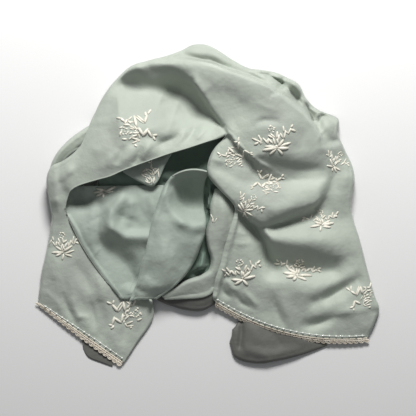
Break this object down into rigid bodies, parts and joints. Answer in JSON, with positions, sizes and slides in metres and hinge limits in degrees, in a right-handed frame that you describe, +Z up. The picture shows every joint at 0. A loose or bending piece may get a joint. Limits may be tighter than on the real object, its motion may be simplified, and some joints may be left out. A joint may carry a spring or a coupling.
{
  "type": "silk shawl, dropped in a heap",
  "caption": "Long silk shawl with embroidered flower sprays and beaded lace ends, lying in a loose twisted heap.",
  "frame": {"origin": "middle of the heap's box, on the surface it lies on", "axes": "+X to the right of the two hems, +Y towards the back of the heap, away from the hems, +Z up"},
  "size_m": [0.511, 0.4826, 0.0851],
  "materials": {
    "silk": "pale sage-green plain-weave silk with a soft sheen",
    "silk_inner": "the same silk, seen in shade between the folds",
    "lace": "matt ecru cotton lace",
    "thread": "ivory silk floss with a satin sheen",
    "bead": "small pearly white beads"
  },
  "bodies": {
    "root": {"tail_under_hem": "silk", "front_crescent": "silk", "turned_corner": "silk", "left_panel": "silk", "back_band": "silk", "rear_crumple": "silk", "rear_pleat": "silk", "rear_corner": "silk", "pouch": "silk", "side_roll": "silk", "front_lobe": "silk", "right_panel": "silk", "bulge": "silk", "small_band": "silk", "left_flap": "silk", "back_layer": "silk", "front_fold": "silk", "hidden_layers": "silk_inner", "left_lace": "lace", "right_lace": "lace"}
  },
  "joints": []
}
